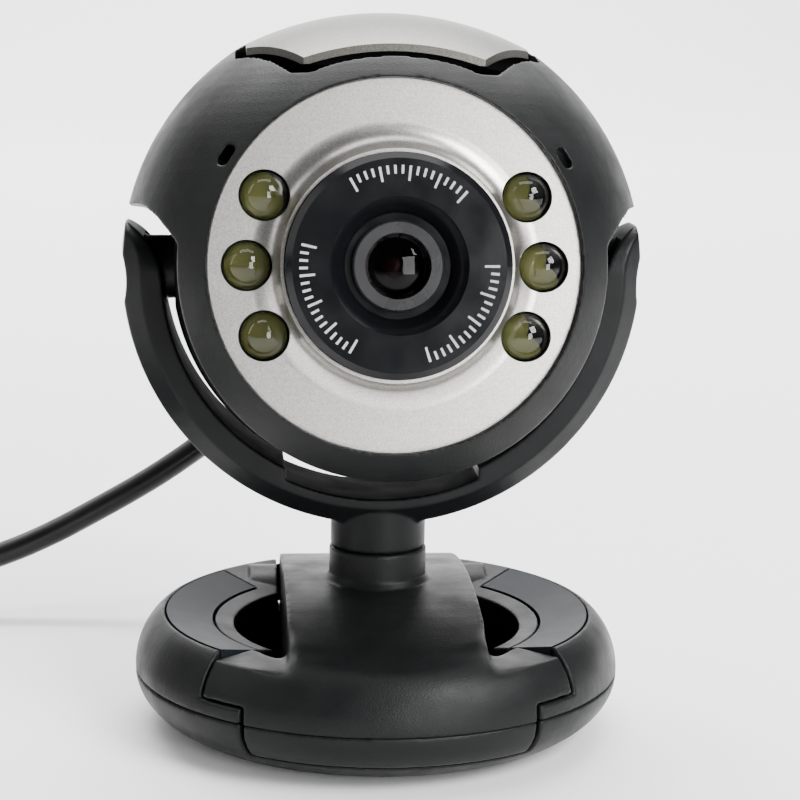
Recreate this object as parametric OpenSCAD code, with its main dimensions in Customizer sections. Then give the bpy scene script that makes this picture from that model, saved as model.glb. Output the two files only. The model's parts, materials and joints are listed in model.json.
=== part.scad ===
// Desk webcam on a round clip base: ball head in a forked yoke, with ring lights and a manual focus ring.
// The origin is the centre of the base on the desk. +Z is up and the lens looks towards -Y.

/* [Head] */
// Radius of the ball head
ball_r = 30; // [29.5:0.25:30.5]
// Height of the tilt axis above the desk
tilt_z = 54.4; // [54:0.2:56]
// Upward tilt of the head at rest, in degrees
rest_tilt = 7.5; // [0:0.5:10]
// Wall of the two head shells
wall = 1.8; // [1.6:0.1:2]
// Radius of the smaller lower body that swings inside the yoke
low_r = 24.3; // [24:0.1:24.5]
// Radius of the front drum that frames the face plate
drum_r = 23.3; // [23:0.1:23.5]
// Radius of the silver face plate
face_r = 20; // [19.5:0.1:20.2]
// Distance from the tilt axis forward to the face plate
face_y = 21; // [20.8:0.1:21.2]

/* [Lights and lens] */
// Radius of one light-emitting diode
led_r = 2.5; // [2.4:0.05:2.5]
// Radius of the circle that the lights stand on
led_pitch_r = 15.9; // [15.8:0.05:16]
// Angle between neighbouring lights, in degrees
led_step = 28; // [27:0.5:29]
// Radius of the focus ring
focus_r = 11.95; // [11.9:0.01:11.96]
// Height that the focus ring stands in front of the face plate
focus_h = 5.6; // [5.4:0.1:5.8]
// Radius of the lens barrel's front rim
barrel_r = 4.85; // [4.8:0.05:4.85]

/* [Snapshot button] */
// Width of the button across the head
button_w = 31.6; // [31:0.1:32]
// Distance that the button travels when pressed
button_travel = 0.6; // [0.4:0.1:0.6]

/* [Yoke] */
// Inner radius of the fork
fork_r = 25.2; // [25.1:0.05:25.3]
// Half of the fork's width from front to back
fork_half = 5.8; // [5.7:0.05:5.9]
// Radius of the stem below the fork
neck_r = 5.6; // [5.5:0.05:5.7]
// Height of the swivel joint above the desk
swivel_z = 21.4; // [21.2:0.1:21.6]

/* [Base] */
// Radius of the base
base_r = 28.7; // [28.5:0.1:29]
// Height of the parting line round the base
part_z = 7; // [7:0.1:7.2]
// Radius of the hole through the middle of the clip ring
hole_r = 17; // [16.8:0.1:17.2]
// Half of the width of the bridge that carries the neck
bridge_half = 11.1; // [11:0.05:11.2]
// Height of the top of the bridge
bridge_z = 17.4; // [17.2:0.1:17.6]

/* [Cord] */
// Diameter of the cord
cord_d = 3.3; // [3.2:0.1:3.4]
// Radius of the coil at the middle of its turns
coil_mid_r = 19.8; // [19.6:0.1:20]

/* [Hidden] */
LEDS = [for (i = [1:6]) str("led_", i)];

$fn = 72;
big = 80;            // larger than the whole webcam
gap = 0.05;          // running clearance
seam_y = 4;          // joint between the two head shells
side_r = 16;         // radius of the arch over each pivot
side_y = 7.3;        // half length of the flat top of that arch
side_z = 7;          // height of that flat top over the tilt axis
rear_slope = 34;     // fall of the helmet's edge towards the back, in degrees
drum_back = -10.5;   // rear end of the front drum
boss_r = 3.65;       // pivot boss on the fork
journal_r = 2;       // pivot pin moulded on the boss
pivot_x = 23;        // flat on the head where the pivot washer sits
washer_t = 0.4;      // thickness of that washer
fork_bevel = 2.2;    // bevel along the fork's outer edges
fork_recess = 1.2;   // depth of the shallow recess under the head
tip_r = 7.7;         // radius that rounds off the inside of each arm's tip
tip_z = -1.5;        // height at which that rounding starts
button_form_r = 35.5;   // the button is a little flatter than the ball
button_form_z = -6.4;
button_front = -18.5;
button_back = 5.5;
button_gap = 1.2;
cap_t = 0.7;         // thickness of the silver cap on the button
flange_r = 27.4;     // outer radius of the flange that keeps the button in
pcb_t = 1.2;
led_board_y = -12.6; // front of the LED board
main_board_y = -4.8; // front of the main board
front_wall_y = -17.9;   // inside of the wall behind the face plate
button_floor = 21.6; // underside of the button at its front edge
screw_xz = [[-17.3, -10], [17.3, -10], [-19.5, 9.5], [19.5, 9.5]];
lip_in = 20.8;       // inner radius of the front lip
lip_top = 12.8;      // height of the flat on the front lip
lip_half = 46.5;     // half angle of the front lip's upper shell
seam = 1;             // angle left open beside the front lip, in degrees
chin_half = 35.5;    // half angle of the front lip's lower shell
step_z = 9;          // height of the step between those two
floor_t = 1.6;       // thickness of the base's floor
ring_screw_angles = [-20, 200, 40, 140];
ring_screw_r = 20.6;
strip_z = 3;         // top of the ring's strip under the front lip
crest_r = 25.2;      // outer edge of the ring's top
crest_z = 13.6;      // height of that edge
rim_z = 11.8;        // height of the top at the hole
pad_in = 19.6;
pad_t = 1.2;
hinge_y = 18.5;
hinge_z = 8;
knuckle_r = 5.2;
pin_r = 1.25;
clip_angle = 24;     // how far the clip opens
bridge_arc = 84;     // radius of the bridge's long arch
gland_z = -8;        // height of the cord's outlet on the back of the head
gland_y = 22.3;
gland_len = 13;
spring_r = 2.1;      // radius of the spring at the middle of its wire
spring_wire = 0.7;
coil_at = [-82, 18];
coil_w = 16.5;       // five cords side by side
coil_h = 6.6;        // and two on top of each other
plug_at = [-78.5, -18.5];   // middle of the plug, which points towards the base

// The cord's route from the strain relief down to the coil, and from the coil to the plug.
cord_route = [[0, 33, 42], [0, 37.5, 41.4], [-0.7, 42.6, 40.8], [-3.2, 48.1, 38.6], [-7.1, 51.6, 34.8],
              [-11.7, 52.6, 30.5], [-16.4, 51.8, 26.5], [-22, 50.6, 22.4], [-28.5, 49.4, 18.2],
              [-35.4, 48.3, 14.4], [-42, 47, 11.1], [-48.5, 45.9, 8.5], [-56, 45, 6.4],
              [-64, 44.6, 5.3], [-73, 44.4, 5], [-82, 44.4, 5]];
upper_last = 6;      // the point where the length beside the head ends
middle_last = 10;    // and the one where the next length ends
tail_route = [[-108, 13.4, 1.7], [-107, 6.6, 1.7], [-105.8, 0.1, 1.7], [-104, -5.9, 1.8], [-101, -11.3, 2.2],
              [-96.6, -15.5, 2.9], [-91.4, -18, 3.6], [-86, -18.5, 4]];

// ---------------------------------------------------------------- helpers

module on_head() {
    translate([0, 0, tilt_z]) rotate([-rest_tilt, 0, 0]) children();
}

module along_y(from, to, r) {
    translate([0, from, 0]) rotate([-90, 0, 0]) cylinder(h = to - from, r = r);
}

module along_x(from, to, r) {
    translate([from, 0, 0]) rotate([0, 90, 0]) cylinder(h = to - from, r = r);
}

// Turns a profile given as [radius, y] about the optical axis.
module turned_y() {
    rotate([-90, 0, 0]) rotate_extrude() children();
}

// Part of a ring about the base's axis, up to half degrees each side of the front.
module front_sector(half) {
    rotate_extrude(start = 270 - half, angle = 2 * half) children();
}

// The rest of that ring.
module back_sector(half) {
    rotate_extrude(start = 270 + half, angle = 360 - 2 * half) children();
}

module mirrored() {
    children();
    mirror([1, 0, 0]) children();
}

// A countersunk self-tapping screw that points up from the origin.
module screw(head_r, head_h, shank_r, length) {
    difference() {
        union() {
            cylinder(h = head_h, r = head_r);
            cylinder(h = length, r = shank_r);
        }
        for (a = [0, 90]) {
            rotate([0, 0, a]) translate([-head_r * 0.6, -0.22, -0.1]) cube([head_r * 1.2, 0.44, head_h * 0.55]);
        }
    }
}

// Tubes are swept along a smooth curve through the points of a route.
function knot(p, i) = p[max(0, min(len(p) - 1, i))];
function spline(p, i, t) = 0.5 * (2 * knot(p, i) + (knot(p, i + 1) - knot(p, i - 1)) * t
    + (2 * knot(p, i - 1) - 5 * knot(p, i) + 4 * knot(p, i + 1) - knot(p, i + 2)) * t * t
    + (3 * knot(p, i) - knot(p, i - 1) - 3 * knot(p, i + 1) + knot(p, i + 2)) * t * t * t);
function smooth_path(p) =
    concat([for (i = [0:len(p) - 2]) for (t = [0, 0.5]) spline(p, i, t)], [p[len(p) - 1]]);
function unit(v) = v / norm(v);
function heading(p, i) = unit(knot(p, i + 1) - knot(p, i - 1));
function ring_at(c, d, r, sides, side_dir) =
    let (u = unit(cross(side_dir, d)), v = cross(d, u))
    [for (k = [0:sides - 1]) c + r * (cos(360 * k / sides) * u + sin(360 * k / sides) * v)];
module sweep(p, r, sides, side_dir, from = 0, to = -1, last_dir = undef) {
    last = to < 0 ? len(p) - 1 : to;
    n = last - from + 1;
    points = [for (i = [from:last]) each
        ring_at(p[i], i == len(p) - 1 && !is_undef(last_dir) ? last_dir : heading(p, i), r, sides, side_dir)];
    walls = [for (i = [0:n - 2]) for (k = [0:sides - 1])
        [i * sides + k, i * sides + (k + 1) % sides, (i + 1) * sides + (k + 1) % sides, (i + 1) * sides + k]];
    start_cap = [[for (k = [sides - 1:-1:0]) k]];
    end_cap = [[for (k = [0:sides - 1]) (n - 1) * sides + k]];
    polyhedron(points, concat(walls, start_cap, end_cap), convexity = 8);
}

// One of the lengths of the cord, from one point of the route to another.
module cord_length(first, last) {
    sweep(smooth_path(cord_route), cord_d / 2, 8, [0, 0, 1], 2 * first, 2 * last);
}

// ---------------------------------------------------------------- ball head

function arc(cy, cz, r, from, to, n) =
    [for (i = [0:n]) let (a = from + (to - from) * i / n) [cy + r * cos(a), cz + r * sin(a)]];

// Side view of what is cut away round each pivot so that the head can swing in the fork.
module side_outline() {
    far_y = 60;
    last = 90 - rear_slope;
    end_y = side_y + side_r * cos(last);
    end_z = side_z - side_r + side_r * sin(last);
    polygon(concat(
        [[-side_y - side_r, -far_y]],
        arc(-side_y, side_z - side_r, side_r, 180, 90, 10),
        arc(side_y, side_z - side_r, side_r, 90, last, 5),
        [[far_y, end_z - (far_y - end_y) * tan(rear_slope)], [far_y, -far_y]]));
}

// The outside of the head.
module head_form() {
    difference() {
        sphere(r = ball_r);
        rotate([90, 0, 90]) translate([0, 0, -big]) linear_extrude(2 * big) side_outline();
    }
    intersection() {
        sphere(r = ball_r);
        along_y(-big, drum_back, drum_r);
    }
    sphere(r = low_r);
}

// The space inside the two shells.
module head_cavity() {
    sphere(r = low_r - wall);
    along_y(front_wall_y, -9, drum_r - wall);
    intersection() {
        sphere(r = ball_r - wall);
        translate([-big, front_wall_y, side_z + wall]) cube(2 * big);
    }
}

module button_outline(grow) {
    w = button_w / 2;
    offset(delta = grow)
        polygon([[-9.8, button_front], [9.8, button_front], [w, -8.6], [w, -3], [9.8, button_back],
                 [-9.8, button_back], [-w, -3], [-w, -8.6]]);
}

module screw_bosses(from, to, r) {
    for (p = screw_xz) translate([p[0], 0, p[1]]) along_y(from, to, r);
}

module mic_slot(side) {
    rotate([0, -side * 33, 0]) translate([side * 21.5, 0, 0]) {
        for (z = [-0.7, 0.7]) translate([0, 0, z]) along_y(-26, -15, 0.55);
        translate([-0.55, -26, -0.7]) cube([1.1, 11, 1.4]);
    }
}

module button_hole() {
    translate([0, 0, button_floor - 1]) linear_extrude(big) button_outline(button_gap);
}

module front_shell() {
    color("#1f2021") on_head() difference() {
        union() {
            difference() {
                head_form();
                head_cavity();
            }
            mirrored() along_x(19.6, pivot_x, 4.2);
            screw_bosses(-3.2, seam_y, 2.8);
        }
        translate([-big, seam_y, -big]) cube(2 * big);
        along_y(-big, -19.5, face_r + gap);
        along_y(-19.6, front_wall_y + 0.1, 18.8);
        mirrored() {
            along_x(pivot_x, big, 4.4);
            along_x(19, pivot_x + 1, journal_r + gap);
        }
        screw_bosses(-2.4, seam_y + 1, 0.9);
        mic_slot(-1);
        mic_slot(1);
        button_hole();
    }
}

module rear_shell() {
    color("#1f2021") on_head() difference() {
        union() {
            difference() {
                head_form();
                head_cavity();
            }
            screw_bosses(seam_y, 8, 2.8);
        }
        translate([-big, seam_y - 2 * big, -big]) cube(2 * big);
        screw_bosses(seam_y - 1, 30, 1.15);
        screw_bosses(7, 30, 2.3);
        translate([0, 0, gland_z]) along_y(15, 30, 2.9);
        button_hole();
    }
}

module face_plate() {
    color("#b9b6b0") on_head() difference() {
        turned_y() difference() {
            polygon([[focus_r + 0.1, -face_y - 3.1], [focus_r + 0.45, -face_y - 3.1], [15.5, -face_y - 3.1],
                     [15.5, -face_y], [face_r, -face_y], [face_r, -19.5], [focus_r + 0.1, -19.5]]);
            translate([focus_r + 0.45 + 3.1, -face_y - 3.1]) circle(r = 3.1);
        }
        for (i = [0:5]) at_led(i) along_y(-30, -15, led_r + 0.25);
    }
}

// ---------------------------------------------------------------- lights and electronics

module at_led(i) {
    side = i < 3 ? -1 : 1;
    a = (1 - i % 3) * led_step;
    translate([side * led_pitch_r * cos(a), 0, led_pitch_r * sin(a)]) children();
}

module led(i) {
    color("#c9c98f") on_head() at_led(i) {
        along_y(-face_y + 0.9, -14.4, led_r);
        intersection() {
            translate([0, -face_y + 0.9, 0]) sphere(r = led_r);
            along_y(-big, -face_y + 0.9, led_r + 1);
        }
        along_y(-14.4, -13.4, led_r + 0.4);
        for (x = [-1.27, 1.27]) translate([x, 0, 0]) along_y(-13.4, led_board_y, 0.25);
    }
}

module led_board() {
    color("#1d5a35") on_head() turned_y() translate([12.9, led_board_y]) square([5.9, pcb_t]);
}

module lens_holder() {
    color("#151515") on_head() difference() {
        union() {
            translate([-6.5, main_board_y - 3, -6.5]) cube([13, 3, 13]);
            along_y(-17, main_board_y - 3, 6.2);
        }
        along_y(-18, main_board_y - 2, 4 + gap);
        translate([-4, main_board_y - 2, -4]) cube([8, 3, 8]);
    }
}

module main_board() {
    color("#1d5a35") on_head() along_y(main_board_y, main_board_y + pcb_t, 17);
}

module image_sensor() {
    color("#26262e") on_head() translate([-3, main_board_y - 0.9, -3]) cube([6, 0.9, 6]);
}

module controller_chip() {
    color("#202020") on_head() {
        translate([-4.5, main_board_y + pcb_t, 1.5]) cube([9, 1, 9]);
        for (k = [0:7]) {
            for (s = [-1, 1]) {
                translate([s * 4.95 - 0.45, main_board_y + pcb_t, 2 + k * 1.05]) cube([0.9, 0.3, 0.5]);
            }
        }
    }
}

module microphone() {
    color("#8c8c8c") on_head() rotate([0, -33, 0]) translate([21.2, 0, 0]) along_y(-15.6, -13, 2.1);
}

module snapshot_switch() {
    color("#303030") on_head() difference() {
        translate([-3, -12, 19.2]) cube([6, 6, 3.4]);
        translate([0, -9, 20]) cylinder(h = 5, r = 1.75 + gap);
    }
}

module head_screws() {
    color("#9a9a9c") on_head() for (p = screw_xz) {
        translate([p[0], 8.2, p[1]]) rotate([90, 0, 0]) screw(2, 1.2, 0.85, 10);
    }
}

module tilt_washers() {
    color("#2b2b2b") on_head() mirrored() difference() {
        along_x(pivot_x, pivot_x + washer_t, 3.6);
        along_x(pivot_x - 1, pivot_x + 2, journal_r + gap);
    }
}

module strain_relief() {
    color("#1b1b1c") on_head() translate([0, 0, gland_z]) difference() {
        turned_y() {
            difference() {
                polygon([[0, 17.4], [3.9, 17.4], [3.9, 18.6], [2.85, 18.6], [2.85, gland_y + 1.8],
                         [3.5, gland_y + 1.8], [3.4, gland_y + 3], [2.2, gland_y + gland_len],
                         [0, gland_y + gland_len]]);
                for (k = [0:3]) translate([2.7 - k * 0.22, gland_y + 4.4 + k * 2]) square([2, 0.7]);
            }
        }
        along_y(gland_y + gland_len - 2.3, big, cord_d / 2 + 0.02);
    }
}

// ---------------------------------------------------------------- snapshot button

module button_form(t) {
    translate([0, 0, button_form_z]) sphere(r = button_form_r - t);
}

module snapshot_button() {
    color("#bdbab4") on_head() difference() {
        intersection() {
            button_form(0);
            translate([0, 0, button_floor]) linear_extrude(big) button_outline(0);
        }
        button_form(cap_t);
    }
}

// The dark moulding under the cap, with the flange that keeps the button in and the stem for the switch.
module button_carrier() {
    color("#1a1b1c") on_head() {
        difference() {
            intersection() {
                button_form(cap_t);
                translate([0, 0, button_floor]) linear_extrude(big) button_outline(-0.9);
            }
            sphere(r = flange_r - 1);
        }
        difference() {
            intersection() {
                sphere(r = flange_r);
                translate([0, 0, button_floor]) linear_extrude(big) intersection() {
                    button_outline(button_gap + 0.7);
                    translate([-big, front_wall_y + 0.4]) square(2 * big);
                }
            }
            sphere(r = flange_r - 1);
        }
        translate([0, -9, 23.1]) cylinder(h = 3, r = 1.5);
    }
}

module switch_plunger() {
    color("#d8d8d0") on_head() translate([0, -9, 20.8 + button_travel])
        cylinder(h = 2.3 - button_travel, r = 1.75);
}

// ---------------------------------------------------------------- focus ring and lens

module focus_ring() {
    front = -face_y - focus_h;
    color("#18191a") on_head() turned_y() difference() {
        polygon([[barrel_r + gap, -23.6], [5.6, -23.6], [7.3, front], [focus_r - 0.7, front],
                 [focus_r, front + 0.7], [focus_r, -19.4], [12.7, -19.4], [12.7, -18.6], [10.9, -18.6],
                 [10.9, -23], [6.3, -23], [6.3, -20], [4 + gap, -20], [4 + gap, -21.6],
                 [barrel_r + gap, -21.6]]);
    }
}

module lens_barrel() {
    color("#3c3d40") on_head() turned_y() difference() {
        polygon([[3.5, -24.7], [barrel_r - 0.2, -24.7], [barrel_r, -24.5], [barrel_r, -22.1], [4, -22.1],
                 [4, -8.4], [2.2, -8.4], [2.2, -10], [3, -10], [3, -22], [3.5, -22]]);
        for (k = [0:11]) translate([3.9, -16.6 + k * 0.62]) square([0.3, 0.25]);
    }
}

module front_lens() {
    color("#101018") on_head() intersection() {
        along_y(-25, -22, 3.5);
        translate([0, -15.8, 0]) sphere(r = 7.9);
    }
}

module rear_lens() {
    color("#101018") on_head() along_y(-12, -10, 3);
}

// ---------------------------------------------------------------- yoke and neck

// Section of the fork with bevelled outer edges, turned about the optical axis.
module fork_ring() {
    bevel_r = ball_r - fork_bevel - 0.2;
    slope_end = fork_half - fork_bevel - 1.2;
    turned_y() polygon([[fork_r, -fork_half], [bevel_r, -fork_half], [ball_r + 1, -slope_end],
                        [ball_r + 1, slope_end], [bevel_r, fork_half], [fork_r, fork_half]]);
}

module yoke() {
    color("#25272a") {
        translate([0, 0, tilt_z]) {
            difference() {
                intersection() {
                    sphere(r = ball_r);
                    fork_ring();
                    union() {
                        along_x(-big, big, fork_half);
                        translate([-big, -big, -big]) cube([2 * big, 2 * big, big]);
                    }
                }
                intersection() {
                    along_y(-big, big, fork_r + fork_recess);
                    translate([-11.2, -big, -big]) cube([22.4, 2 * big, big]);
                }
                mirrored() {
                    translate([ball_r + 9.85, 0, -1.3]) along_y(-big, big, 10.5);
                    difference() {
                        translate([fork_r - 5, -big, tip_z]) cube([20, 2 * big, 20]);
                        translate([fork_r + tip_r, 0, tip_z]) along_y(-big, big, tip_r);
                    }
                }
            }
            mirrored() {
                along_x(pivot_x + washer_t + gap, ball_r - 1.4, boss_r);
                along_x(19.8, pivot_x + 1, journal_r);
            }
        }
        difference() {
            union() {
                translate([0, 0, swivel_z]) cylinder(h = tilt_z - 27.7 - swivel_z, r = neck_r);
                translate([0, 0, 12.4]) cylinder(h = swivel_z - 12.3, r = 3.6);
            }
            translate([0, 0, 12]) cylinder(h = 8, r = 1.2);
        }
    }
}

module neck_washer() {
    color("#a8a9ab") difference() {
        translate([0, 0, 11.6]) cylinder(h = 0.8, r = 5);
        translate([0, 0, 11]) cylinder(h = 2, r = 1.5);
    }
}

module neck_screw() {
    color("#a8a9ab") translate([0, 0, 10]) screw(2.6, 1.6, 1.18, 9.4);
}

// ---------------------------------------------------------------- front jaw of the clip

// Outer curve of the base above and below the parting line, as the edge of a solid disc's profile.
module disc_profile(top_r, top_z, t) {
    intersection() {
        union() {
            translate([base_r - 5.8, part_z]) scale([5.8 - t, 7.35 - t]) circle(r = 1);
            translate([0, part_z - 1]) square([base_r - 5.8, big]);
        }
        translate([0, part_z]) square([top_r, top_z - part_z - t]);
    }
}

module lower_profile(t) {
    intersection() {
        union() {
            translate([base_r - 10, part_z]) scale([10 - t, part_z - t]) circle(r = 1);
            translate([0, t]) square([base_r - 10, part_z]);
        }
        translate([0, t]) square([big, part_z - t]);
    }
}

// The bridge from the given front end to the knuckle, with its front rolled over like the base's rim,
// and its back sloped so that it clears the ring when the clip is open.
module bridge_solid(front, t) {
    intersection() {
        translate([-bridge_half + t, front, strip_z + t])
            cube([2 * (bridge_half - t), hinge_y + knuckle_r - t - front, big]);
        translate([0, hinge_y, hinge_z]) rotate([clip_angle, 0, 0])
            translate([-big, knuckle_r - t - 2 * big, -big]) cube(2 * big);
        translate([0, 0, bridge_z - bridge_arc]) along_x(-big, big, bridge_arc - t);
        rotate_extrude() disc_profile(base_r, bridge_z + 1, t);
    }
}

// The front lip: wide above the step and narrower below it.
module lip_sector(narrow) {
    front_sector(lip_half - narrow) difference() {
        children();
        square([base_r, step_z]);
    }
    front_sector(chin_half - seam - narrow) children();
}

module jaw_cover() {
    color("#202225") difference() {
        union() {
            difference() {
                union() {
                    difference() {
                        bridge_solid(-26.5, 0);
                        bridge_solid(-21.7, wall);
                    }
                    lip_sector(0) difference() {
                        disc_profile(base_r, lip_top, 0);
                        square([lip_in, big]);
                    }
                }
                lip_sector(4) difference() {
                    disc_profile(base_r, lip_top, 1.6);
                    square([lip_in + 1.4, big]);
                }
            }
            translate([0, 0, 12.45]) cylinder(h = swivel_z - 0.1 - 12.45, r = neck_r + 0.15);
            translate([0, 0, bridge_z - 0.6]) cylinder(h = 1, r1 = neck_r + 1.1, r2 = neck_r + 0.3);
            translate([0, hinge_y, hinge_z]) along_x(-bridge_half, bridge_half, knuckle_r);
            for (x = [-7, 7]) translate([x, -23, part_z]) cylinder(h = 5, r = 2.2);
        }
        translate([0, 0, 10]) cylinder(h = 20, r = 3.6 + gap);
        translate([0, hinge_y, hinge_z]) along_x(-big, big, pin_r + gap);
        translate([-4.3, hinge_y - 6.5, strip_z - 1]) cube([8.6, 13, hinge_z + 4 - strip_z]);
        for (x = [-7, 7]) translate([x, -23, part_z - 1]) cylinder(h = 5.2, r = 0.9);
    }
}

module jaw_tray() {
    foot = strip_z + 0.1;
    color("#202225") difference() {
        union() {
            front_sector(chin_half - seam) difference() {
                lower_profile(0);
                square([lip_in, big]);
                square([base_r, foot]);
            }
            translate([-bridge_half, -21.5, foot]) cube([2 * bridge_half, 33.5, part_z - foot]);
        }
        difference() {
            front_sector(chin_half - seam - 4) difference() {
                lower_profile(1.6);
                square([lip_in + 1.4, big]);
                square([base_r, foot + 1.5]);
            }
            for (x = [-7, 7]) translate([x, -23, 0]) cylinder(h = big, r = 2.2);
        }
        translate([-bridge_half + wall, -20.8 + wall, foot + 1.5])
            cube([2 * (bridge_half - wall), 32.8 - 2 * wall, 10]);
        for (x = [-7, 7]) {
            translate([x, -23, strip_z - 1]) cylinder(h = 10, r = 1.1);
            translate([x, -23, strip_z - 1]) cylinder(h = 2.4, r = 2);
        }
    }
}

module jaw_screws() {
    color("#9a9a9c") for (x = [-7, 7]) translate([x, -23, strip_z + 0.2]) screw(1.9, 1.2, 0.85, 7.4);
}

// ---------------------------------------------------------------- clip ring

// Top of the ring, which slopes gently down to the hole.
module ring_top_profile(t) {
    intersection() {
        disc_profile(base_r, crest_z, t);
        polygon([[0, 0], [base_r, 0], [base_r, crest_z - t], [crest_r, crest_z - t], [hole_r, rim_z - t],
                 [0, rim_z - t]]);
    }
}

// The space that the bridge and its knuckle swing in.
module bridge_room() {
    translate([-bridge_half - 0.35, -22, strip_z - 1.2]) cube([2 * bridge_half + 0.7, 22 + hinge_y, big]);
    translate([0, hinge_y, hinge_z]) along_x(-bridge_half - 0.35, bridge_half + 0.35, knuckle_r + 0.4);
    translate([-bridge_half - 0.35, hinge_y, hinge_z]) cube([2 * bridge_half + 0.7, knuckle_r + 0.4, big]);
}

module at_ring_screws() {
    for (a = ring_screw_angles) rotate([0, 0, a]) translate([ring_screw_r, 0, 0]) children();
}

module hinge_ears(from, to) {
    mirrored() intersection() {
        union() {
            translate([0, hinge_y, hinge_z]) along_x(bridge_half + 0.35, bridge_half + 3.9, knuckle_r + 0.6);
            translate([bridge_half + 0.35, 13, 0]) cube([3.55, 9, hinge_z]);
        }
        translate([0, 0, from]) cylinder(h = to - from, r = 25.6);
    }
}

module cover_cavity_profile() {
    intersection() {
        disc_profile(base_r, crest_z, 1.5);
        polygon([[hole_r + 1.4, part_z - 1], [base_r, part_z - 1], [base_r, 10.8], [crest_r, 10.8],
                 [pad_in, 9.8], [hole_r + 1.4, 9.8]]);
    }
}

module ring_cover() {
    color("#1e2022") difference() {
        union() {
            back_sector(lip_half + seam) difference() {
                ring_top_profile(0);
                square([hole_r, big]);
            }
            back_sector(chin_half) difference() {
                ring_top_profile(0);
                square([hole_r, big]);
                translate([0, step_z - 0.3]) square([big, big]);
            }
            hinge_ears(part_z, big);
        }
        difference() {
            back_sector(lip_half + seam + 4) cover_cavity_profile();
            at_ring_screws() cylinder(h = big, r = 2.2);
            hinge_ears(part_z - 1, big);
        }
        bridge_room();
        translate([0, hinge_y, hinge_z]) along_x(-big, big, pin_r);
        at_ring_screws() translate([0, 0, part_z - 1]) cylinder(h = 4, r = 0.9);
        pad_seat(-1);
        pad_seat(1);
    }
}

// Underside of the pads, which follows the slope of the ring's top.
function pad_floor(r) = rim_z - pad_t + (crest_z - rim_z) * (r - hole_r) / (crest_r - hole_r);

// One rubber pad, on the side given by the sign.
module pad_form(side) {
    outer = crest_r - 0.2;
    mirror([side < 0 ? 0 : 1, 0, 0]) rotate_extrude(start = 137, angle = 85)
        polygon([[pad_in, pad_floor(pad_in)], [outer, pad_floor(outer)], [outer, pad_floor(outer) + pad_t],
                 [pad_in, pad_floor(pad_in) + pad_t]]);
}

// The shallow seat that the pad is glued into.
module pad_seat(side) {
    inner = pad_in - 0.3;
    mirror([side < 0 ? 0 : 1, 0, 0]) rotate_extrude(start = 136.4, angle = 90)
        polygon([[inner, pad_floor(inner)], [crest_r, pad_floor(crest_r)], [crest_r, 15], [inner, 15]]);
}

module left_pad() {
    color("#2c3036") pad_form(-1);
}

module right_pad() {
    color("#2c3036") pad_form(1);
}

// The tray closes the base underneath and carries the hole's wall.
module ring_tray() {
    color("#1e2022") difference() {
        union() {
            rotate_extrude() difference() {
                lower_profile(0);
                translate([0, floor_t]) square([hole_r, big]);
            }
            hinge_ears(2.4, part_z);
        }
        front_sector(chin_half) translate([hole_r - 1, strip_z]) square([big, big]);
        difference() {
            back_sector(chin_half + 4) difference() {
                lower_profile(1.5);
                square([hole_r + 1.4, big]);
            }
            at_ring_screws() cylinder(h = big, r = 2.2);
            hinge_ears(2.4, part_z + 1);
        }
        bridge_room();
        translate([0, hinge_y, hinge_z]) along_x(-big, big, pin_r);
        at_ring_screws() translate([0, 0, -1]) {
            cylinder(h = 12, r = 1.1);
            cylinder(h = 2.8, r = 2);
        }
    }
}

module ring_screws() {
    color("#9a9a9c") at_ring_screws() translate([0, 0, 0.6]) screw(1.9, 1.2, 0.85, 8.8);
}

module hinge_pin() {
    color("#a8a9ab") translate([0, hinge_y, hinge_z]) along_x(-bridge_half - 3.7, bridge_half + 3.7, pin_r);
}

// The torsion spring lies round the hinge pin, with one leg under the bridge and one down behind it.
module clip_spring() {
    turns = 6;
    steps = 12;
    coil = [for (i = [0:turns * steps]) let (a = 90 - 360 * i / steps)
        [-3 + 6 * i / (turns * steps), spring_r * cos(a), spring_r * sin(a)]];
    route = concat([[-3, -8, spring_r], [-3, -4, spring_r]], coil, [[3.1, 1.5, spring_r - 0.4]]);
    color("#8f9194") translate([0, hinge_y, hinge_z]) sweep(route, spring_wire / 2, 6, [1, 0, 0]);
}

// ---------------------------------------------------------------- cord and plug

module cord_upper() {
    color("#1b1b1c") cord_length(0, upper_last);
}

module cord_middle() {
    color("#1b1b1c") cord_length(upper_last, middle_last);
}

module cord_lower() {
    color("#1b1b1c") cord_length(middle_last, len(cord_route) - 1);
}

module cord_coil() {
    color("#1b1b1c") translate([coil_at[0], coil_at[1], 0]) rotate_extrude()
        translate([coil_mid_r - coil_w / 2, 0]) square([coil_w, coil_h]);
}

module cord_tail() {
    color("#1b1b1c") sweep(smooth_path(tail_route), cord_d / 2, 8, [0, 0, 1], last_dir = [1, 0, 0]);
}

module cord_tie() {
    color("#2a2a2a") translate([coil_at[0] - coil_mid_r, coil_at[1], 0]) difference() {
        translate([-coil_w / 2 - 0.8, -1.6, 0]) cube([coil_w + 1.6, 3.2, coil_h + 0.8]);
        translate([-coil_w / 2, -2, -1]) cube([coil_w, 4, coil_h + 1]);
    }
}

module plug_grip() {
    color("#1b1b1c") translate([plug_at[0], plug_at[1], 0]) {
        difference() {
            translate([-7.5, -7.5, 0.1]) cube([17.5, 15, 7.8]);
            translate([9, -6, 1.75]) cube([3, 12, 4.5]);
        }
    }
}

module plug_shell() {
    color("#c0c2c4") translate([plug_at[0], plug_at[1], 4]) difference() {
        translate([9, -6, -2.25]) cube([13, 12, 4.5]);
        translate([10, -5.7, -1.95]) cube([12.5, 11.4, 3.9]);
    }
}

module plug_tongue() {
    color("#f0f0ec") translate([plug_at[0], plug_at[1], 4]) translate([10, -5.7, 0]) cube([11.2, 11.4, 1.95]);
}

// ---------------------------------------------------------------- nodes

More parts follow.
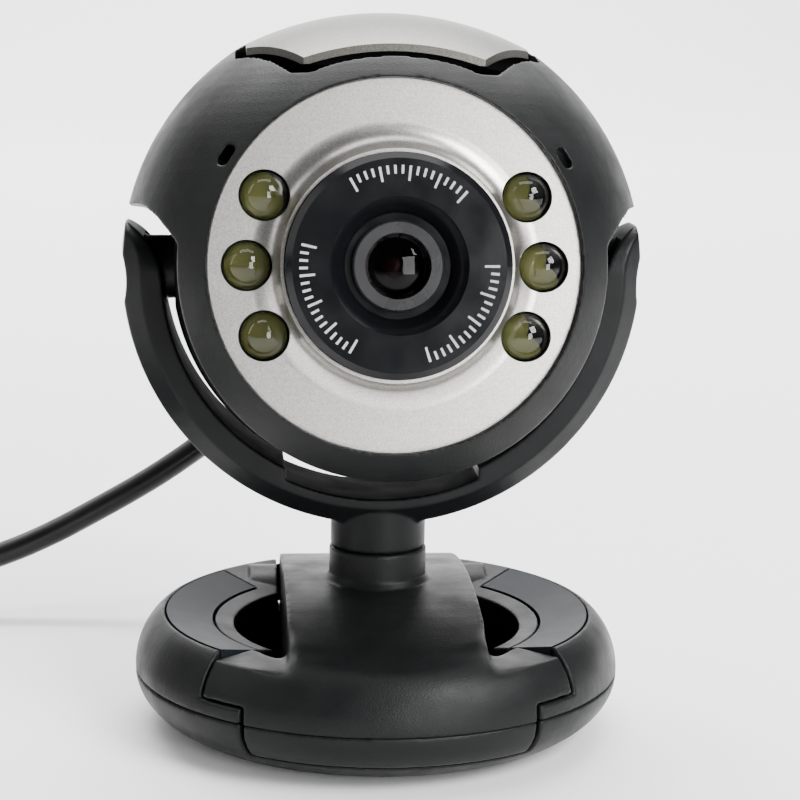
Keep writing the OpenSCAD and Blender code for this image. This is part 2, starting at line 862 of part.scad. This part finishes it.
front_shell();
rear_shell();
face_plate();
for (i = [0:5]) led(i);
led_board();
lens_holder();
main_board();
image_sensor();
controller_chip();
microphone();
snapshot_switch();
head_screws();
tilt_washers();
strain_relief();
snapshot_button();
button_carrier();
switch_plunger();
focus_ring();
lens_barrel();
front_lens();
rear_lens();
yoke();
neck_screw();
neck_washer();
jaw_cover();
jaw_tray();
jaw_screws();
ring_cover();
ring_tray();
left_pad();
right_pad();
ring_screws();
hinge_pin();
clip_spring();
cord_upper();
cord_middle();
cord_lower();
cord_coil();
cord_tail();
cord_tie();
plug_grip();
plug_shell();
plug_tongue();
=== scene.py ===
import bpy
import bmesh
import json
import math
from mathutils import Matrix, Vector


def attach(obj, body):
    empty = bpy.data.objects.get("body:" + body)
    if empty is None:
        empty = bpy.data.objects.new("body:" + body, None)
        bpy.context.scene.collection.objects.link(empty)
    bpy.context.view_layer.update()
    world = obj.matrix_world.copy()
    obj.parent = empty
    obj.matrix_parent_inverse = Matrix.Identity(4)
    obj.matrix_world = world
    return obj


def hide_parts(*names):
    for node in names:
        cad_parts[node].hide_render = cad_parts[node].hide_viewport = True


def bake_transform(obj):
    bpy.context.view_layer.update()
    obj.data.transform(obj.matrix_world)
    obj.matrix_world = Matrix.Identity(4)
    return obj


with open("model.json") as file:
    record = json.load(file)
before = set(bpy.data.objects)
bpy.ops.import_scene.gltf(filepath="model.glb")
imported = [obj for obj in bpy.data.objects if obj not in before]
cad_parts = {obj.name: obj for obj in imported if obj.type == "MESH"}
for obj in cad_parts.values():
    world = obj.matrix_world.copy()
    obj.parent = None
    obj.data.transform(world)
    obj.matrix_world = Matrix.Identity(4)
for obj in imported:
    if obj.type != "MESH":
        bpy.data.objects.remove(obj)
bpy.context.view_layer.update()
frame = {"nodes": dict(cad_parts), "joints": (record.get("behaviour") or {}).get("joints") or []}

N = frame["nodes"]
MM = 0.001
CORD_D = 3.3


def mm(p):
    return Vector(p) * MM


# ------------------------------------------------------------------ camera

cam_data = bpy.data.cameras.new("camera")
cam_data.sensor_width = 36
cam_data.lens = 98.9
cam_data.clip_start = 0.01
cam = bpy.data.objects.new("camera", cam_data)
bpy.context.scene.collection.objects.link(cam)
turn, tip, roll = math.radians(-4.74), math.radians(90 - 10.58), math.radians(0.9)
cam.matrix_world = (Matrix.Translation(mm((-18.6, -253.3, 86.2))) @ Matrix.Rotation(turn, 4, "Z")
                    @ Matrix.Rotation(tip, 4, "X") @ Matrix.Rotation(roll, 4, "Z"))
bpy.context.scene.camera = cam


# ------------------------------------------------------------------ mesh helpers

def new_object(name, verts, faces, smooth=True):
    me = bpy.data.meshes.new(name)
    me.from_pydata([tuple(v) for v in verts], [], faces)
    me.update()
    ob = bpy.data.objects.new(name, me)
    bpy.context.scene.collection.objects.link(ob)
    for p in me.polygons:
        p.use_smooth = smooth
    return ob


def catmull(points, per):
    """A smooth curve through the points, with per steps from each point to the next."""
    pts = [Vector(p) for p in points]
    out = []
    for i in range(len(pts) - 1):
        a, b, c, d = pts[max(i - 1, 0)], pts[i], pts[i + 1], pts[min(i + 2, len(pts) - 1)]
        for k in range(per):
            t = k / per
            square = (2 * a - 5 * b + 4 * c - d) * t * t
            cube = (3 * b - a - 3 * c + d) * t ** 3
            out.append(0.5 * (2 * b + (c - a) * t + square + cube))
    return out + [pts[-1]]


def tube(name, path, radius, sides=20, before=None, after=None):
    """A round tube along a path. before and after are the next points of the same cord, past its cut ends.
    A second ring close to each end keeps the end caps out of the shading."""
    line = [before or path[0]] + list(path) + [after or path[-1]]
    rings = []
    side = None
    for i, p in enumerate(path):
        d = (line[i + 2] - line[i]).normalized()
        if side is None:
            side = Vector((0, 0, 1)).cross(d)
        side = (side - d * side.dot(d)).normalized()
        up = d.cross(side)
        angles = [2 * math.pi * k / sides for k in range(sides)]
        rings.append([p + radius * (math.cos(a) * side + math.sin(a) * up) for a in angles])
    rings.insert(1, [a.lerp(b, 0.03) for a, b in zip(rings[0], rings[1])])
    rings.insert(-1, [a.lerp(b, 0.03) for a, b in zip(rings[-1], rings[-2])])
    n = len(rings)
    faces = []
    for i in range(n - 1):
        for k in range(sides):
            j = (k + 1) % sides
            faces.append((i * sides + k, i * sides + j, (i + 1) * sides + j, (i + 1) * sides + k))
    faces.append(tuple(range(sides - 1, -1, -1)))
    faces.append(tuple((n - 1) * sides + k for k in range(sides)))
    return new_object(name, [v for ring in rings for v in ring], faces)


def path_length(path):
    return sum((b - a).length for a, b in zip(path, path[1:]))


# ------------------------------------------------------------------ cord

# Points in mm: beside the head, down to the jaw, along the floor to the coil, and from the coil to the plug.
UPPER = [(0, 33, 42), (0, 37.5, 41.4), (-0.7, 42.6, 40.8), (-3.2, 48.1, 38.6), (-7.1, 51.6, 34.8),
         (-11.7, 52.6, 30.5), (-16.4, 51.8, 26.5)]
MIDDLE = [(-16.4, 51.8, 26.5), (-22, 50.6, 22.4), (-28.5, 49.4, 18.2), (-35.4, 48.3, 14.4), (-42, 47, 11.1)]
LOWER = [(-42, 47, 11.1), (-48.5, 45.9, 8.5), (-56, 45, 6.4), (-64, 44.6, 5.3), (-73, 44.4, 5)]
TAIL = [(-107, 6.6, 1.7), (-105.8, 0.1, 1.7), (-104, -5.9, 1.8), (-101, -11.3, 2.2), (-96.6, -15.5, 2.9),
        (-91.4, -18, 3.6), (-86, -18.5, 4)]
COIL_AT = (-82, 18)
COIL_MID = 19.8
TOP_Z, LOW_Z = 4.98, 1.67


def coil_points():
    """Five turns wound inwards on top, then five outwards underneath.

    In each turn the cord shifts slowly from its slot (radius, height) to the next one, between two angles."""
    slots = [(COIL_MID + (2 - k) * CORD_D, TOP_Z) for k in range(5)]
    slots += [(COIL_MID + (k - 2) * CORD_D, LOW_Z) for k in range(5)]
    shifts = [(200 + 360 * k, 330 + 360 * k) for k in range(4)] + [(1510, 1640)]
    shifts += [(2000 + 360 * k, 2130 + 360 * k) for k in range(4)]
    points = []
    for angle in range(90, 3431, 10):
        slot, mix = 0, 0.0
        for a, b in shifts:
            if angle >= b:
                slot += 1
            elif angle > a:
                t = (angle - a) / (b - a)
                mix = t * t * (3 - 2 * t)
        r0, z0 = slots[slot]
        r1, z1 = slots[min(slot + 1, 9)]
        r, z = r0 + (r1 - r0) * mix, z0 + (z1 - z0) * mix
        t = math.radians(angle)
        points.append((COIL_AT[0] + r * math.cos(t), COIL_AT[1] + r * math.sin(t), z))
    return points


route = [p * MM for p in catmull(UPPER + MIDDLE[1:] + LOWER[1:] + coil_points() + TAIL, 4)]
cut_1, cut_2 = 4 * (len(UPPER) - 1), 4 * (len(UPPER) + len(MIDDLE) - 2)
upper_path, middle_path, lower_path = route[:cut_1 + 1], route[cut_1:cut_2 + 1], route[cut_2:]
cord_upper = tube("cord_a", upper_path, CORD_D * MM / 2, after=route[cut_1 + 1])
cord_middle = tube("cord_b", middle_path, CORD_D * MM / 2, before=route[cut_1 - 1], after=route[cut_2 + 1])
cord_lower = tube("cord_c", lower_path, CORD_D * MM / 2, 16, before=route[cut_2 - 1])
cord_length = path_length(upper_path) + path_length(middle_path) + path_length(lower_path)
print("cord length", round(cord_length, 4))

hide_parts("cord_upper")
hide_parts("cord_middle")
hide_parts("cord_lower", "cord_coil", "cord_tail")
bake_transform(cord_upper)
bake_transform(cord_middle)
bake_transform(cord_lower)


# ------------------------------------------------------------------ materials

class Nodes:
    """Short names for the few shader nodes that the materials use."""

    def __init__(self, name):
        self.m = bpy.data.materials.new(name)
        self.m.use_nodes = True
        self.t = self.m.node_tree
        self.b = self.t.nodes["Principled BSDF"]
        self.coord = self.t.nodes.new("ShaderNodeTexCoord").outputs["Object"]

    def link(self, a, b):
        self.t.links.new(a, b)

    def noise(self, scale, detail=3.0, rough=0.5):
        n = self.t.nodes.new("ShaderNodeTexNoise")
        n.inputs["Scale"].default_value = scale
        n.inputs["Detail"].default_value = detail
        n.inputs["Roughness"].default_value = rough
        self.link(self.coord, n.inputs["Vector"])
        return n.outputs["Fac"]

    def cells(self, scale):
        n = self.t.nodes.new("ShaderNodeTexVoronoi")
        n.inputs["Scale"].default_value = scale
        self.link(self.coord, n.inputs["Vector"])
        return n

    def ramp(self, fac, stops):
        n = self.t.nodes.new("ShaderNodeValToRGB")
        e = n.color_ramp.elements
        while len(e) < len(stops):
            e.new(0.5)
        for el, (pos, col) in zip(e, stops):
            el.position = pos
            el.color = (col, col, col, 1) if isinstance(col, (int, float)) else (*col, 1)
        self.link(fac, n.inputs["Fac"])
        return n.outputs["Color"]

    def bump(self, height, strength, distance, normal=None):
        n = self.t.nodes.new("ShaderNodeBump")
        n.inputs["Strength"].default_value = strength
        n.inputs["Distance"].default_value = distance
        self.link(height, n.inputs["Height"])
        if normal:
            self.link(normal, n.inputs["Normal"])
        return n.outputs["Normal"]

    def set(self, **values):
        for k, v in values.items():
            self.b.inputs[k.replace("_", " ")].default_value = v


def moulded(name, dark, light, rough, grain_scale, grain, sheen_var=0.08, specular=0.5):
    """Moulded plastic: cloudy tone, a fine spark-eroded grain, and slightly uneven gloss."""
    n = Nodes(name)
    n.set(Specular_IOR_Level=specular)
    n.link(n.ramp(n.noise(90, 4), [(0.3, dark), (0.7, light)]), n.b.inputs["Base Color"])
    sheen = n.ramp(n.noise(260, 4), [(0.3, rough - sheen_var), (0.7, rough + sheen_var)])
    n.link(sheen, n.b.inputs["Roughness"])
    fine = n.bump(n.noise(grain_scale, 2, 0.6), grain, 0.00004)
    n.link(n.bump(n.noise(60, 2), 0.02, 0.0002, fine), n.b.inputs["Normal"])
    return n.m


def metallic_paint(name, dark, light):
    """Silver paint: fine flakes that differ in tone, tilt and gloss."""
    n = Nodes(name)
    flakes = n.cells(9500)
    tone = n.ramp(flakes.outputs["Color"], [(0.10, dark), (0.90, light)])
    n.link(tone, n.b.inputs["Base Color"])
    n.link(n.ramp(n.noise(2500, 3), [(0.3, 0.29), (0.7, 0.33)]), n.b.inputs["Roughness"])
    n.link(n.bump(flakes.outputs["Distance"], 0.012, 0.00001), n.b.inputs["Normal"])
    n.set(Metallic=1.0)
    return n.m


def metal(name, color, rough):
    """Bare metal with a fine brushed unevenness."""
    n = Nodes(name)
    lighter = tuple(min(1.0, c * 1.25) for c in color)
    n.link(n.ramp(n.noise(500, 5), [(0.3, color), (0.7, lighter)]), n.b.inputs["Base Color"])
    n.link(n.ramp(n.noise(900, 3), [(0.3, rough - 0.07), (0.7, rough + 0.1)]), n.b.inputs["Roughness"])
    n.link(n.bump(n.noise(1500, 2), 0.15, 0.00002), n.b.inputs["Normal"])
    n.set(Metallic=1.0)
    return n.m


def clear(name, color, rough, ior, var):
    """Clear glass or epoxy, with var as how much its polish differs."""
    n = Nodes(name)
    n.link(n.ramp(n.noise(400, 3), [(0.3, rough), (0.7, rough + var)]), n.b.inputs["Roughness"])
    lighter = tuple(min(1, c * 1.04) for c in color)
    n.link(n.ramp(n.noise(120, 2), [(0.2, color), (0.8, lighter)]), n.b.inputs["Base Color"])
    n.set(Transmission_Weight=1.0, IOR=ior)
    return n.m


BLACK = moulded("abs_black", (0.0046, 0.0049, 0.0051),
                (0.0070, 0.0073, 0.0076), 0.40, 5200, 0.85, specular=0.14)
YOKE = moulded("abs_blue_grey", (0.0038, 0.0041, 0.0044),
               (0.0056, 0.0060, 0.0066), 0.38, 4200, 0.45, specular=0.12)
# dark black for the inner parts, also used as painted shade on the fork's face towards the ball
INNER_AND_SHADE = moulded("inner_black", (0.0024, 0.0024, 0.0026),
                (0.0040, 0.0040, 0.0042), 0.7, 3000, 0.3, specular=0.02)
GLOSS = moulded("ring_black", (0.0026, 0.0028, 0.0034),
                (0.0040, 0.0042, 0.0050), 0.20, 5200, 0.12, 0.05, 0.22)
PAD = moulded("pad_rubber", (0.0075, 0.0094, 0.0125),
              (0.0095, 0.0120, 0.0155), 0.38, 2600, 0.20, 0.02, 0.06)
CORD = moulded("cord_pvc", (0.0050, 0.0050, 0.0053),
               (0.0075, 0.0075, 0.0080), 0.38, 3000, 0.22, specular=0.22)
WHITE = moulded("tongue_white", (0.66, 0.66, 0.64), (0.76, 0.76, 0.74), 0.45, 3000, 0.1)
PRINT = moulded("print_white", (0.30, 0.32, 0.32), (0.40, 0.42, 0.42), 0.5, 6000, 0.3, specular=0.2)
BOARD = moulded("solder_mask", (0.010, 0.085, 0.035), (0.018, 0.125, 0.050), 0.35, 1500, 0.4)
CHIP = moulded("chip_black", (0.012, 0.012, 0.013), (0.020, 0.020, 0.021), 0.6, 4000, 0.4)
PHOSPHOR = moulded("led_phosphor", (0.038, 0.039, 0.008),
                   (0.052, 0.053, 0.013), 0.5, 2400, 0.2, specular=0.1)
FILTER = moulded("ir_filter", (0.060, 0.003, 0.002), (0.110, 0.005, 0.004), 0.15, 900, 0.1, 0.05)
SILVER = metallic_paint("silver_paint", (0.38, 0.365, 0.345), (0.60, 0.585, 0.56))
# painted shade: a darker copy of the silver paint for the snapshot button, standing in for the dimmer light
# it reflects
SHADED_SILVER = metallic_paint("button_silver_painted_shade", (0.085, 0.083, 0.074), (0.14, 0.136, 0.122))
STEEL = metal("steel", (0.48, 0.48, 0.49), 0.32)
NICKEL = metal("nickel", (0.62, 0.62, 0.61), 0.24)
BARREL = moulded("barrel_grey", (0.0100, 0.0102, 0.0110),
                 (0.0140, 0.0143, 0.0155), 0.30, 6000, 0.2, 0.05, 0.35)
LENS = clear("lens_glass", (0.26, 0.21, 0.24), 0.0, 1.20, 0.02)
EPOXY = clear("led_epoxy", (0.95, 0.95, 0.88), 0.01, 1.40, 0.03)

FINISH = {
    BLACK: ["front_shell", "rear_shell", "jaw_cover", "jaw_tray", "ring_cover", "ring_tray"],
    YOKE: ["yoke"], GLOSS: ["focus_ring"], SILVER: ["face_plate"], SHADED_SILVER: ["snapshot_button"],
    PAD: ["left_pad", "right_pad", "cord_tie", "tilt_washers"],
    CORD: ["strain_relief", "plug_grip"], WHITE: ["plug_tongue"], NICKEL: ["plug_shell"],
    BOARD: ["led_board", "main_board"], CHIP: ["image_sensor", "controller_chip", "snapshot_switch"],
    STEEL: ["microphone", "head_screws", "neck_screw", "neck_washer", "jaw_screws", "ring_screws",
            "hinge_pin", "clip_spring"],
    BARREL: ["lens_barrel"], LENS: ["front_lens", "rear_lens"],
    INNER_AND_SHADE: ["lens_holder", "switch_plunger", "button_carrier"],
    EPOXY: ["led_%d" % i for i in range(1, 7)],
}


def paint(ob, material):
    ob.data.materials.clear()
    ob.data.materials.append(material)


for material, names in FINISH.items():
    for name in names:
        paint(N[name], material)
for ob in (cord_upper, cord_middle, cord_lower):
    paint(ob, CORD)


# ------------------------------------------------------------------ moulded parts with soft edges

def applied(ob):
    """Bakes the object's modifiers into its mesh."""
    graph = bpy.context.evaluated_depsgraph_get()
    me = bpy.data.meshes.new_from_object(ob.evaluated_get(graph))
    ob.modifiers.clear()
    old = ob.data
    ob.data = me
    bpy.data.meshes.remove(old)


def softened(node, body, voxel, rounds, material, melt=None, melt_rounds=0, painted_shade_and_matt=None):
    """A moulding with the CAD part's shape and rounded edges. melt(v) in mm says where the form flows more
    softly, and the last argument, given (v, normal), says where the surface is matt and painted darker:
    painted shade."""
    ob = bpy.data.objects.new(node + "_moulded", N[node].data.copy())
    bpy.context.scene.collection.objects.link(ob)
    bm = bmesh.new()
    bm.from_mesh(ob.data)
    bmesh.ops.remove_doubles(bm, verts=bm.verts, dist=0.000002)
    bm.to_mesh(ob.data)
    bm.free()
    remesh = ob.modifiers.new("remesh", "REMESH")
    remesh.mode = "VOXEL"
    remesh.voxel_size = voxel * MM
    remesh.use_smooth_shade = True
    even = ob.modifiers.new("even", "SMOOTH")
    even.factor = 0.5
    even.iterations = 4
    back = ob.modifiers.new("back", "SHRINKWRAP")
    back.target = N[node]
    back.wrap_method = "NEAREST_SURFACEPOINT"
    smooth = ob.modifiers.new("smooth", "SMOOTH")
    smooth.factor = 0.5
    smooth.iterations = rounds
    applied(ob)
    if melt:
        group = ob.vertex_groups.new(name="melt")
        for v in ob.data.vertices:
            w = melt(v.co / MM)
            if w > 0.01:
                group.add([v.index], min(1.0, w), "REPLACE")
        flow = ob.modifiers.new("flow", "SMOOTH")
        flow.factor = 0.5
        flow.iterations = melt_rounds
        flow.vertex_group = "melt"
        applied(ob)
    paint(ob, material)
    # the second material is painted shade, darker and matt, on the faces that the mask picks
    ob.data.materials.append(INNER_AND_SHADE)
    for p in ob.data.polygons:
        p.use_smooth = True
        p.material_index = 1 if painted_shade_and_matt and painted_shade_and_matt(p.center / MM, p.normal) else 0
    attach(ob, body)
    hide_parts(node)
    return ob


def step_in(value, a, b):
    """0 below a, 1 above b, and a smooth step between."""
    t = max(0.0, min(1.0, (value - a) / (b - a)))
    return t * t * (3 - 2 * t)


def bridge_foot(v):
    """Where the bridge flows into the front lip."""
    return step_in(-v.y, 14.5, 17.5) * step_in(v.z, 9.0, 10.5) * (1 - step_in(abs(v.x), 12.5, 15.5))


BALL_CENTRE = Vector((0, 0, 54.4))


def fork_inside_painted_shade(v, normal):
    """The face of the fork that looks at the ball. The shade between fork and ball is painted in there with a
    darker, matt material.
    """
    return normal.dot((BALL_CENTRE - v).normalized()) > 0.6


softened("front_shell", "head", 0.20, 4, BLACK)
softened("rear_shell", "head", 0.32, 3, BLACK)
softened("yoke", "yoke", 0.22, 5, YOKE, painted_shade_and_matt=fork_inside_painted_shade)
softened("jaw_cover", "jaw", 0.22, 4, BLACK, bridge_foot, 110)
softened("jaw_tray", "jaw", 0.28, 3, BLACK)
softened("ring_cover", "ring", 0.24, 3, BLACK)
softened("ring_tray", "ring", 0.30, 3, BLACK)


# ------------------------------------------------------------------ head details

TILT = next(j for j in frame["joints"] if j["name"] == "head_tilt")["pos_m"]
FORWARD = Vector(next(j for j in frame["joints"] if j["name"] == "focus_turn")["axis"]).normalized()
RIGHT = Vector((1, 0, 0))
UP = RIGHT.cross(-FORWARD)
HEAD = Matrix((RIGHT, -FORWARD, UP)).transposed().to_4x4()
HEAD.translation = Vector(TILT)


def lathe(name, profile, center=(0, 0), steps=64, body="head"):
    """Turns a profile of (radius, y) in mm about a line along the lens axis."""
    verts, faces = [], []
    n = len(profile)
    for k in range(steps):
        a = 2 * math.pi * k / steps
        for r, y in profile:
            verts.append(HEAD @ mm((center[0] + r * math.cos(a), y, center[1] + r * math.sin(a))))
    for k in range(steps):
        j = (k + 1) % steps
        for i in range(n - 1):
            faces.append((k * n + i, k * n + i + 1, j * n + i + 1, j * n + i))
    ob = new_object(name, verts, faces)
    bm = bmesh.new()
    bm.from_mesh(ob.data)
    bmesh.ops.remove_doubles(bm, verts=bm.verts, dist=1e-7)
    bmesh.ops.recalc_face_normals(bm, faces=bm.faces)
    bm.to_mesh(ob.data)
    bm.free()
    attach(ob, body)
    return ob


LED_R = 15.9
LED_STEP = 28
LED_CORE = [(0, -19.7), (1.2, -19.75), (2.0, -19.5), (2.15, -19.1), (2.0, -15.2), (0, -15.2)]


def led_painted_reflection(number, at, width):
    """A painted reflection: a dark crescent sheet inside a clear LED, beside its yellow core, standing in for
    dark surroundings reflected in the dome. It tapers to both ends.
    """
    verts, faces = [], []
    for k in range(25):
        a = math.radians(25 + 75 * (k / 12 - 1))
        w = width * math.cos(math.radians(90 * (k / 12 - 1))) + 0.02
        for f in (0, 0.33, 0.67, 1):
            r = 2.02 - w * f
            verts.append(HEAD @ mm((at[0] + r * math.cos(a), -19.80 + 0.03 * r * r, at[1] + r * math.sin(a))))
    for k in range(24):
        for f in range(3):
            faces.append((4 * k + f, 4 * k + f + 1, 4 * k + f + 5, 4 * k + f + 4))
    ob = new_object("led_shade_%d" % number, verts, faces)
    paint(ob, GLOSS)
    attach(ob, "head")


for i in range(6):
    side = -1 if i < 3 else 1
    a = math.radians((1 - i % 3) * LED_STEP)
    at = (side * LED_R * math.cos(a), LED_R * math.sin(a))
    core = lathe("led_core_%d" % (i + 1), LED_CORE, at, 40)
    paint(core, PHOSPHOR)
    # painted reflection: a dark crescent sheet in the right-hand LEDs and in the top-left one
    if side > 0 or i == 0:
        led_painted_reflection(i + 1, at, 1.75 if side > 0 else 0.7)

APERTURE = [(1.15, -19.4), (2.9, -20.6), (2.95, -20.4), (1.2, -18.9), (1.15, -19.4)]
aperture = lathe("lens_aperture", APERTURE, body="lens")
paint(aperture, INNER_AND_SHADE)
FILTER_DISC = [(0, -18.2), (0.7, -18.15), (1.1, -18.0), (1.1, -17.5), (0, -17.5)]
infra = lathe("lens_filter", FILTER_DISC, body="lens")
paint(infra, FILTER)


RING_FRONT = -26.63
TICK_OUTER, TICK_SHORT, TICK_LONG = 10.5, 9.6, 8.9


def ticks():
    """A focus scale printed on the front of the ring: three groups of ticks, every fourth one longer."""
    verts, faces = [], []
    half = math.radians(0.75)
    for start in (48, 168, 288):
        for k in range(17):
            a = math.radians(start + k * 4.5)
            inner = TICK_SHORT if k % 4 else TICK_LONG
            base = len(verts)
            for r, da in ((inner, -half), (TICK_OUTER, -half), (TICK_OUTER, half), (inner, half)):
                verts.append(HEAD @ mm((r * math.cos(a + da), RING_FRONT, r * math.sin(a + da))))
            faces.append((base, base + 1, base + 2, base + 3))
    ob = new_object("focus_scale", verts, faces, False)
    paint(ob, PRINT)
    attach(ob, "focus")


ticks()

# ------------------------------------------------------------------ floor and light

def backdrop():
    """A floor that curves up into a wall well behind the object."""
    flat_to, radius = 1.2, 0.8
    profile = [(-3.0, 0.0), (flat_to, 0.0)]
    for a in range(10, 91, 10):
        t = math.radians(a)
        profile.append((flat_to + radius * math.sin(t), radius - radius * math.cos(t)))
    profile.append((flat_to + radius, 3.0))
    verts = [(x, y, z - 0.00002) for y, z in profile for x in (-3, 3)]
    faces = [(2 * i, 2 * i + 1, 2 * i + 3, 2 * i + 2) for i in range(len(profile) - 1)]
    return new_object("floor", verts, faces)


floor = backdrop()
fl = Nodes("floor_white")
fl.link(fl.ramp(fl.noise(3, 2), [(0.3, 0.90), (0.7, 0.92)]), fl.b.inputs["Base Color"])
fl.set(Roughness=0.8)
paint(floor, fl.m)


def area(name, where, target, size, power):
    d = bpy.data.lights.new(name, "AREA")
    d.shape = "RECTANGLE"
    d.size, d.size_y = size
    d.energy = power
    ob = bpy.data.objects.new(name, d)
    bpy.context.scene.collection.objects.link(ob)
    ob.location = where
    ob.rotation_euler = (Vector(target) - Vector(where)).to_track_quat("-Z", "Y").to_euler()


area("key", (0.42, -0.42, 0.50), (0, 0, 0.045), (0.35, 0.35), 10)
area("front_right", (0.25, -0.62, 0.15), (0, 0, 0.05), (0.22, 0.34), 4)
area("left_edge", (-0.55, -0.05, 0.35), (0, 0, 0.05), (0.25, 0.5), 0.8)
area("top", (0, 0.25, 0.9), (0, 0.1, 0.0), (0.9, 0.9), 11)
area("floor_wash", (0, 0.80, 0.9), (0, 0.9, 0), (1.6, 0.8), 20)
area("back_wash", (0, 0.9, 1.5), (0, 1.8, 0.4), (1.8, 0.6), 60)
world = bpy.data.worlds.new("world")
bpy.context.scene.world = world
world.use_nodes = True
world.node_tree.nodes["Background"].inputs["Color"].default_value = (1, 1, 1, 1)
world.node_tree.nodes["Background"].inputs["Strength"].default_value = 0.14
